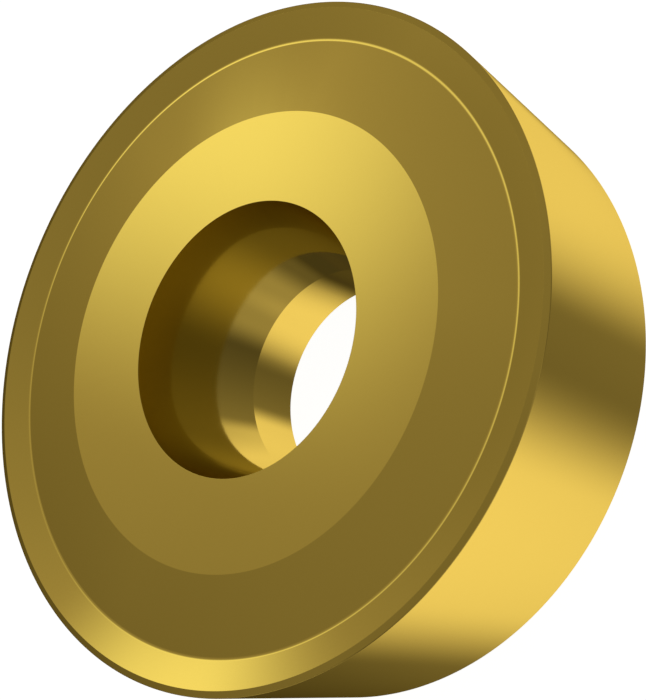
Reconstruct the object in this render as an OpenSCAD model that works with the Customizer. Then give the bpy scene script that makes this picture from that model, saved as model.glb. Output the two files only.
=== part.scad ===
// Round indexable cutting insert: one sintered and coated body with a countersunk screw hole.
// The origin is the middle of the seat, and +Z runs through the hole to the cutting side.

/* [Body] */
// Diameter at the cutting edge, to the sharp corner
edge_d = 20; // [19:0.5:26]
// Height of the flat top face over the seat
thickness = 6.1; // [5:0.05:8]
// How far the cutting edge lies below the flat top face
edge_drop = 0.13; // [0.05:0.01:0.3]
// Relief angle by which the flank leans in from the edge to the seat
relief_angle = 7; // [3:0.5:15]

/* [Cutting edge] */
// Width of the strengthened land behind the edge
land_w = 0.2; // [0.1:0.02:0.3]
// Angle at which the land rises inwards from the edge
land_angle = 15; // [5:1:20]
// Radius of the hone that rounds the edge itself
hone_r = 0.03; // [0.01:0.01:0.05]

/* [Chip groove] */
// Width of the rake slope, from the land to the bottom of the groove
rake_w = 0.88; // [0.6:0.02:1.3]
// Angle at which the rake slope falls inwards
rake_angle = 15; // [10:1:20]
// Radius at the bottom of the groove
groove_r = 0.27; // [0.1:0.01:0.4]
// Diameter of the flat top face, where the floor of the groove ends
face_d = 13.34; // [12:0.02:14.5]

/* [Screw hole] */
// Diameter of the plain bore at the seat
bore_d = 6.5; // [5:0.1:7]
// Height of the plain bore over the seat
bore_h = 1.8; // [1:0.1:3]
// Included angle of the countersink that takes the screw head
sink_angle = 20; // [10:1:30]

/* [Hidden] */
$fn = 180;
// Short lines along each rounded corner of the profile
arc_steps = 6;

edge_r = edge_d / 2;
edge_z = thickness - edge_drop;
seat_r = edge_r - edge_z * tan(relief_angle);
land_r = edge_r - land_w;
land_z = edge_z + land_w * tan(land_angle);
groove_bottom_r = land_r - rake_w;
groove_bottom_z = land_z - rake_w * tan(rake_angle);
face_r = face_d / 2;
bore_r = bore_d / 2;
mouth_r = bore_r + (thickness - bore_h) * tan(sink_angle / 2);

// Direction from point a to point b, as a vector of length 1
function toward(a, b) = (b - a) / norm(b - a);

// Points of an arc of radius r in the corner at b, on the way from a to c
function rounded(a, b, c, r) =
    let (
        back = toward(b, a),
        ahead = toward(b, c),
        half_angle = acos(back * ahead) / 2,
        middle = b + toward([0, 0], back + ahead) * r / sin(half_angle),
        start = b + back * r / tan(half_angle) - middle,
        finish = b + ahead * r / tan(half_angle) - middle,
        sweep = acos(start * finish / (r * r)),
        turn = sign(start[0] * finish[1] - start[1] * finish[0])
    )
    [
        for (i = [0 : arc_steps])
            let (angle = turn * sweep * i / arc_steps)
            middle + [
                start[0] * cos(angle) - start[1] * sin(angle),
                start[0] * sin(angle) + start[1] * cos(angle)
            ]
    ];

// Half section of the insert, from the seat round the outside and back down the hole
module section() {
    seat_corner = [seat_r, 0];
    edge = [edge_r, edge_z];
    land_crest = [land_r, land_z];
    groove_bottom = [groove_bottom_r, groove_bottom_z];
    face_corner = [face_r, thickness];
    polygon(concat(
        [[bore_r, 0], seat_corner],
        rounded(seat_corner, edge, land_crest, hone_r),
        [land_crest],
        rounded(land_crest, groove_bottom, face_corner, groove_r),
        [face_corner, [mouth_r, thickness], [bore_r, bore_h]]
    ));
}

module insert() {
    color("goldenrod") rotate_extrude() section();
}

insert();
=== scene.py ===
import math

import bmesh
import bpy
from mathutils import Matrix, Vector

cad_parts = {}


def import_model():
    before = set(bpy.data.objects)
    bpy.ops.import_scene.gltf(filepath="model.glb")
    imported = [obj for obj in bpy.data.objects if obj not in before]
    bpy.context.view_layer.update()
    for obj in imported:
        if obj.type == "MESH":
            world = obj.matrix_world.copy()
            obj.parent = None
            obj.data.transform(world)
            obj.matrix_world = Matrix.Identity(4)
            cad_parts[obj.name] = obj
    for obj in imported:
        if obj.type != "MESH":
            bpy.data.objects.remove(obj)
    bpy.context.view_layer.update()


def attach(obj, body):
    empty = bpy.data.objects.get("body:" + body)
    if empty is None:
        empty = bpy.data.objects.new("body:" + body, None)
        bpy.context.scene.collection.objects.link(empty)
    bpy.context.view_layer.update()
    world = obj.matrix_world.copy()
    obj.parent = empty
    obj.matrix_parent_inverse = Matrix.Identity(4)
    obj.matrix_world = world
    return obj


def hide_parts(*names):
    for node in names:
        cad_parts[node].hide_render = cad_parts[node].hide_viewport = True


MM = 0.001

# The insert's own sizes, in metres
EDGE_R = 10.0 * MM  # cutting edge, to the sharp corner
THICKNESS = 6.1 * MM  # seat to flat face
EDGE_DROP = 0.13 * MM  # cutting edge below the flat face
RELIEF = math.radians(7)
LAND_W = 0.2 * MM
LAND_ANGLE = math.radians(15)
RAKE_W = 0.88 * MM
RAKE_ANGLE = math.radians(15)
FACE_R = 6.67 * MM
BORE_R = 3.25 * MM
BORE_H = 1.8 * MM
SINK_HALF_ANGLE = math.radians(10)

# Radii of the rounded corners of the outline
HONE = 0.03 * MM
GROOVE_R = 0.27 * MM
LAND_CORNER = 0.003 * MM
TUMBLED = 0.008 * MM
# Radius of each corner and faces along its arc, in the order in which they are rounded
ROUNDED = {
    "groove": (GROOVE_R, 12),
    "edge": (HONE, 8),
    "land": (LAND_CORNER, 2),
    "seat": (TUMBLED, 4),
    "face": (TUMBLED, 4),
    "mouth": (TUMBLED, 4),
    "throat": (TUMBLED, 4),
    "bore_foot": (TUMBLED, 4),
}

SEGMENTS = 360  # faces round the axis
SAME_POINT = 0.0001 * MM  # points closer than this become one
SAME_RING = 0.0005 * MM  # points this close to a corner belong to its ring

# Camera, as worked out from the photograph's ellipses
CAMERA_FOCAL_PX = 1916.8
PICTURE_W_PX = 646
PICTURE_H_PX = 700
PICTURE_CENTRE_PX = (264.93, 384.46)  # where the lens axis meets the picture
CAMERA_OUT = 37.5 * MM  # from the insert's axis
CAMERA_ABOVE_EDGE = 38.37 * MM
CAMERA_RIGHT = Vector((0.3624, -0.6737, -0.6440))
CAMERA_UP = Vector((0.9319, 0.2754, 0.2362))
CAMERA_AHEAD = CAMERA_UP.cross(CAMERA_RIGHT)
SENSOR_W = 36.0  # Blender counts sensor and lens in millimetres
NEAREST = 1 * MM
FARTHEST = 10.0

# What the coating mirrors: a dim room with more light ahead of the camera, above it and from its left,
# less from the other sides
ROOM_LEVEL = 0.195
ROOM_SLOPE = CAMERA_AHEAD * 0.096 + CAMERA_UP * 0.089 - CAMERA_RIGHT * 0.066
DARKEST = (0.06, 0.06, 0.06)  # kept where several flags take light from the same direction
WARM = (1.0, 1.02, 1.1)
COOL = (1.0, 1.18, 1.3)
# Soft panels, and flags that take light away: colour, then degrees right of the camera's view and above it,
# half width, half height, feathering and light level
PANELS = {
    "key": (COOL, -87.5, 28.5, 7.4, 6.7, 5.2, 0.57),
    "key_glow": (WARM, -87.3, 30.6, 8.9, 9.7, 32.7, 0.65),
    "upper_right": (WARM, 37.1, 27.7, 26.4, 17.6, 6.7, 0.65),
    "lower_right": (WARM, 59.8, -37, 25.8, 23.2, 9.4, 0.59),
    "lower_glow": (WARM, 112.3, -52, 50.7, 28, 10.9, 0.26),
    "upper_flag": (WARM, -45.5, 24.7, 51, 62.7, 31, -0.18),
    "lower_flag": (WARM, -12.5, -37.4, 21.6, 28.9, 8, -0.13),
    "rim_flag": (WARM, -54.6, 0.7, 9.3, 39.8, 8, -0.06),
}

# Windows of the room on the side that the photograph doesn't show: colour, then degrees round the insert
# from +X and above the floor, half width, half height, feathering and light level
WINDOWS = {
    "front": (WARM, 262, 42, 34, 26, 14, 0.16),
    "front_low": (WARM, 262, -7, 30, 8, 6, 0.5),
    "left": (WARM, 182, -5, 16, 8, 6, 0.5),
    "right": (WARM, 336, -7, 18, 8, 6, 0.5),
}

# What a second reflection shows inside the hole: a soft light from above
SOFT_LEVEL = 0.1
SOFT_TO_RIGHT = 0.04
SOFT_FROM_ABOVE = 0.285
SOFT_FROM = -0.34  # cosine of the angle from the camera's up where that light begins
SOFT_POWER = 2.0  # and the power with which it grows from there
# What later reflections show: a dim light
DEEP_LEVEL = 0.12
DEEP_SLOPE = CAMERA_RIGHT * -0.08 - CAMERA_AHEAD * 0.04
# The coating tints the light at each reflection, and this takes part of it back for all but one of them
PALER = (1.0, 1.33, 3.3)
ONCE_MIRRORED = 2.0  # Ray Depth of the world behind a single reflection
HALF_A_STEP = 0.5  # keeps whole numbers apart when they are compared

# Coating: two tints that mix in faint clouds, and a roughness that varies in a fine grain
TINT = (0.925, 0.625, 0.101, 1)
CLOUD_TINT = (0.91, 0.61, 0.098, 1)
CLOUDS = {"Scale": 220.0, "Detail": 3.0}
GRAIN = {"Scale": 26000.0, "Detail": 2.0}
ROUGHNESS = {"To Min": 0.05, "To Max": 0.09}
ROUGHNESS_MIRRORED = 0.3  # of the coating as the coating itself mirrors it

FLOOR_SIDE = 4.0
FLOOR_DROP = 0.01 * MM  # below the seat, so that the two don't lie in one plane
FLOOR_COLOUR = (0.6, 0.6, 0.6, 1)
FLOOR_GLOW = 0.93
WHITE = (1, 1, 1, 1)


def outline():
    """Corners of the half section as (radius, height), from the bore's foot round the outside."""
    edge_z = THICKNESS - EDGE_DROP
    seat_r = EDGE_R - edge_z * math.tan(RELIEF)
    land_r = EDGE_R - LAND_W
    land_z = edge_z + LAND_W * math.tan(LAND_ANGLE)
    groove_r = land_r - RAKE_W
    groove_z = land_z - RAKE_W * math.tan(RAKE_ANGLE)
    mouth_r = BORE_R + (THICKNESS - BORE_H) * math.tan(SINK_HALF_ANGLE)
    return {
        "bore_foot": (BORE_R, 0.0),
        "seat": (seat_r, 0.0),
        "edge": (EDGE_R, edge_z),
        "land": (land_r, land_z),
        "groove": (groove_r, groove_z),
        "face": (FACE_R, THICKNESS),
        "mouth": (mouth_r, THICKNESS),
        "throat": (BORE_R, BORE_H),
    }


def deselect_everything():
    bpy.ops.object.select_all(action="DESELECT")


def apply_transform():
    bpy.ops.object.transform_apply(location=True, rotation=True, scale=True)


def turn_outline(name, corners):
    """Extrudes and scales a ring from corner to corner, the way a lathe profile is built by hand."""
    deselect_everything()
    rings = list(corners.values())
    radius, height = rings[0]
    bpy.ops.mesh.primitive_circle_add(
        vertices=SEGMENTS, radius=radius, fill_type="NOTHING", location=(0, 0, height)
    )
    piece = bpy.context.object
    piece.name = name
    piece.data.name = name
    apply_transform()
    bpy.ops.object.mode_set(mode="EDIT")
    bpy.ops.mesh.select_all(action="SELECT")
    for next_radius, next_height in rings[1:] + rings[:1]:
        rise = (0, 0, next_height - height)
        bpy.ops.mesh.extrude_region_move(TRANSFORM_OT_translate={"value": rise})
        widen = next_radius / radius
        bpy.ops.transform.resize(value=(widen, widen, 1), center_override=(0, 0, next_height))
        radius, height = next_radius, next_height
    bpy.ops.mesh.select_all(action="SELECT")
    bpy.ops.mesh.remove_doubles(threshold=SAME_POINT)
    bpy.ops.mesh.normals_make_consistent(inside=False)
    bpy.ops.object.mode_set(mode="OBJECT")
    return piece


def select_ring(piece, corner):
    """Selects the edges that run round the axis at one corner of the outline."""
    mesh = bmesh.from_edit_mesh(piece.data)
    radius, height = corner
    for edge in mesh.edges:
        edge.select = all(
            abs(v.co.xy.length - radius) < SAME_RING and abs(v.co.z - height) < SAME_RING
            for v in edge.verts
        )
    mesh.select_flush_mode()
    bmesh.update_edit_mesh(piece.data)


def corner_turn(corners, name):
    """Angle through which the outline turns at a corner."""
    names = list(corners)
    i = names.index(name)
    before = Vector(corners[names[i - 1]])
    here = Vector(corners[name])
    after = Vector(corners[names[(i + 1) % len(names)]])
    return (here - before).angle(after - here)


def round_corner(piece, corners, name, radius, steps):
    """Bevels one ring of edges to an arc of the given radius."""
    bpy.ops.object.mode_set(mode="EDIT")
    bpy.ops.mesh.select_mode(type="EDGE")
    bpy.ops.mesh.select_all(action="DESELECT")
    select_ring(piece, corners[name])
    reach = radius * math.tan(corner_turn(corners, name) / 2)
    bpy.ops.mesh.bevel(offset=reach, segments=steps, profile=0.5, affect="EDGES")
    bpy.ops.object.mode_set(mode="OBJECT")


def scale_piece(piece, by):
    piece.scale = (by, by, by)
    apply_transform()


def keep_walls_straight(piece):
    """Smooth shading in which the broad walls keep their own direction beside a rounded corner."""
    bpy.ops.object.shade_smooth()
    # Weighted Normal takes areas far below one unit for equal, so it works on the piece in millimetres
    scale_piece(piece, 1 / MM)
    bpy.ops.object.modifier_add(type="WEIGHTED_NORMAL")
    modifier = piece.modifiers[0]
    modifier.thresh = 0.0
    bpy.ops.object.modifier_apply(modifier=modifier.name)
    scale_piece(piece, MM)


def insert_body():
    """The insert, turned from its outline, with every corner rounded."""
    corners = outline()
    piece = turn_outline("insert_body", corners)
    for name, (radius, steps) in ROUNDED.items():
        round_corner(piece, corners, name, radius, steps)
    keep_walls_straight(piece)
    return piece


class Nodes:
    """Short way to add and join the nodes of one material or world."""

    def __init__(self, owner):
        owner.use_nodes = True
        self.tree = owner.node_tree
        self.tree.nodes.clear()

    def add(self, kind, inputs=None, **settings):
        node = self.tree.nodes.new(kind)
        for key, value in settings.items():
            setattr(node, key, value)
        for key, value in (inputs or {}).items():
            if isinstance(value, bpy.types.NodeSocket):
                self.tree.links.new(value, node.inputs[key])
            else:
                node.inputs[key].default_value = value
        return node

    def math(self, operation, *values):
        inputs = dict(enumerate(values))
        return self.add("ShaderNodeMath", inputs, operation=operation).outputs[0]

    def vector(self, operation, a, b):
        return self.add("ShaderNodeVectorMath", {0: a, 1: b}, operation=operation).outputs["Vector"]

    def dot(self, a, b):
        return self.add("ShaderNodeVectorMath", {0: a, 1: b}, operation="DOT_PRODUCT").outputs["Value"]

    def scaled(self, a, by):
        return self.add("ShaderNodeVectorMath", {0: a, "Scale": by}, operation="SCALE").outputs["Vector"]

    # The Mix node has sockets of the same names for every kind of value, so they go by number
    def mix(self, factor, a, b):
        return self.add("ShaderNodeMix", {0: factor, 2: a, 3: b}).outputs[0]

    def mix_colour(self, factor, a, b):
        return self.add("ShaderNodeMix", {0: factor, 6: a, 7: b}, data_type="RGBA").outputs[2]

    def mix_shader(self, factor, a, b):
        return self.add("ShaderNodeMixShader", {0: factor, 1: a, 2: b}).outputs[0]


def gold_coating():
    """Smooth gold-coloured hard coating: a near mirror with a faint grain and tint."""
    material = bpy.data.materials.new("gold_coating")
    n = Nodes(material)
    place = n.add("ShaderNodeTexCoord").outputs["Object"]
    clouds = n.add("ShaderNodeTexNoise", {"Vector": place, **CLOUDS}).outputs["Fac"]
    tint = n.mix_colour(clouds, TINT, CLOUD_TINT)
    grain = n.add("ShaderNodeTexNoise", {"Vector": place, **GRAIN}).outputs["Fac"]
    sheen = n.add("ShaderNodeMapRange", {"Value": grain, **ROUGHNESS}).outputs[0]
    mirrored = n.add("ShaderNodeLightPath").outputs["Is Glossy Ray"]
    roughness = n.mix(mirrored, sheen, ROUGHNESS_MIRRORED)
    coat = n.add("ShaderNodeBsdfAnisotropic", {"Color": tint, "Roughness": roughness})
    n.add("ShaderNodeOutputMaterial", {"Surface": coat.outputs[0]})
    return material


def make_camera():
    data = bpy.data.cameras.new("camera")
    camera = bpy.data.objects.new("camera", data)
    bpy.context.scene.collection.objects.link(camera)
    data.sensor_width = SENSOR_W
    long_side = max(PICTURE_W_PX, PICTURE_H_PX)
    data.lens = CAMERA_FOCAL_PX * SENSOR_W / long_side
    data.shift_x = (PICTURE_W_PX / 2 - PICTURE_CENTRE_PX[0]) / long_side
    data.shift_y = (PICTURE_CENTRE_PX[1] - PICTURE_H_PX / 2) / long_side
    data.clip_start = NEAREST
    data.clip_end = FARTHEST
    turn = Matrix((CAMERA_RIGHT, CAMERA_UP, -CAMERA_AHEAD)).transposed().to_4x4()
    height = THICKNESS - EDGE_DROP + CAMERA_ABOVE_EDGE
    camera.matrix_world = Matrix.Translation((0, -CAMERA_OUT, height)) @ turn
    bpy.context.scene.camera = camera


def studio_direction(azimuth, elevation):
    """Direction by its angle right of the camera's own view and its angle above it, in degrees."""
    a, e = math.radians(azimuth), math.radians(elevation)
    level = CAMERA_AHEAD * math.cos(a) + CAMERA_RIGHT * math.sin(a)
    return level * math.cos(e) + CAMERA_UP * math.sin(e)


def room_direction(azimuth, elevation):
    """Direction by its angle round the insert's axis from +X and its angle above the floor, in degrees."""
    a, e = math.radians(azimuth), math.radians(elevation)
    return Vector((math.cos(a) * math.cos(e), math.sin(a) * math.cos(e), math.sin(e)))


def sloping_light(n, way, slope, level):
    """Light level that changes evenly from one side of the room to the other."""
    return n.math("ADD", n.dot(way, slope), level)


def soft_panel(n, way, centre, across, half_w, half_h, feather, strength):
    """Light level of one rectangular soft panel far away, its edges fading over twice feather degrees."""
    upward = centre.cross(across)
    along = n.dot(way, centre)
    level = strength
    for axis, half in ((across, half_w), (upward, half_h)):
        angle = n.math("ARCTAN2", n.math("ABSOLUTE", n.dot(way, axis)), along)
        fade = n.add(
            "ShaderNodeMapRange",
            {
                "Value": angle,
                "From Min": math.radians(half + feather),
                "From Max": math.radians(half - feather),
            },
            interpolation_type="SMOOTHSTEP",
        )
        level = n.math("MULTIPLY", level, fade.outputs[0])
    return level


def add_panels(n, way, light, panels, direction):
    """Adds panels to the light; direction turns their two angles into a direction in space."""
    for colour, azimuth, elevation, *panel in panels.values():
        centre = direction(azimuth, elevation)
        across = direction(azimuth + 90, 0)
        level = soft_panel(n, way, centre, across, *panel)
        light = n.vector("ADD", light, n.scaled(colour, level))
    return light


def room_light(n, way):
    """What the coating mirrors at first hand."""
    light = sloping_light(n, way, ROOM_SLOPE, ROOM_LEVEL)
    light = add_panels(n, way, light, PANELS, studio_direction)
    light = add_panels(n, way, light, WINDOWS, room_direction)
    return n.vector("MAXIMUM", light, DARKEST)


def soft_overhead(n, way):
    """Light level that grows towards the top of the camera's view and a little towards its right."""
    up = n.dot(way, CAMERA_UP)
    right = n.dot(way, CAMERA_RIGHT)
    rise = n.add("ShaderNodeMapRange", {"Value": up, "From Min": SOFT_FROM, "From Max": 1.0}).outputs[0]
    level = n.math("MULTIPLY", n.math("POWER", rise, SOFT_POWER), SOFT_FROM_ABOVE)
    level = n.math("ADD", level, n.math("MULTIPLY", right, SOFT_TO_RIGHT))
    return n.math("ADD", level, SOFT_LEVEL)


def seen_by_camera(n, path):
    """1 for the camera's own rays and those that it sees through something clear, else 0."""
    return n.math("MAXIMUM", path["Is Camera Ray"], path["Is Transmission Ray"])


def studio_world():
    """Dim studio with a few soft panels: white to the camera, and what the coating mirrors."""
    world = bpy.data.worlds.new("studio")
    bpy.context.scene.world = world
    n = Nodes(world)
    way = n.add("ShaderNodeTexCoord").outputs["Generated"]
    path = n.add("ShaderNodeLightPath").outputs
    earlier = n.math("SUBTRACT", path["Ray Depth"], ONCE_MIRRORED)
    second = n.math("COMPARE", earlier, 1.0, HALF_A_STEP)
    deep = sloping_light(n, way, DEEP_SLOPE, DEEP_LEVEL)
    level = n.mix(second, deep, soft_overhead(n, way))
    first = n.math("LESS_THAN", earlier, HALF_A_STEP)
    light = n.mix_colour(first, level, room_light(n, way))
    paler = n.add("ShaderNodeCombineXYZ", dict(enumerate(n.math("POWER", c, earlier) for c in PALER)))
    light = n.vector("MULTIPLY", light, paler.outputs[0])
    shine = n.add("ShaderNodeBackground", {"Color": light, "Strength": 1.0})
    white = n.add("ShaderNodeBackground", {"Color": WHITE, "Strength": 1.0})
    both = n.mix_shader(seen_by_camera(n, path), shine.outputs[0], white.outputs[0])
    n.add("ShaderNodeOutputWorld", {"Surface": both})


def make_floor():
    """Pale floor: white to the camera with the insert's shadow on it, open to its reflections."""
    deselect_everything()
    bpy.ops.mesh.primitive_plane_add(size=FLOOR_SIDE, location=(0, 0, -FLOOR_DROP))
    floor = bpy.context.object
    floor.name = "floor"
    material = bpy.data.materials.new("pale_floor")
    n = Nodes(material)
    path = n.add("ShaderNodeLightPath").outputs
    matt = n.add("ShaderNodeBsdfDiffuse", {"Color": FLOOR_COLOUR}).outputs[0]
    glow = n.add("ShaderNodeEmission", {"Color": WHITE, "Strength": FLOOR_GLOW}).outputs[0]
    pale = n.add("ShaderNodeAddShader", {0: matt, 1: glow}).outputs[0]
    to_camera = n.mix_shader(seen_by_camera(n, path), matt, pale)
    clear = n.add("ShaderNodeBsdfTransparent").outputs[0]
    through = n.math("MAXIMUM", path["Is Glossy Ray"], path["Is Shadow Ray"])
    n.add("ShaderNodeOutputMaterial", {"Surface": n.mix_shader(through, to_camera, clear)})
    floor.data.materials.append(material)


def main():
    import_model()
    make_camera()
    studio_world()
    make_floor()
    body = insert_body()
    body.data.materials.append(gold_coating())
    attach(body, "root")
    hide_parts("insert")
    bpy.context.scene.view_settings.view_transform = "Standard"


main()
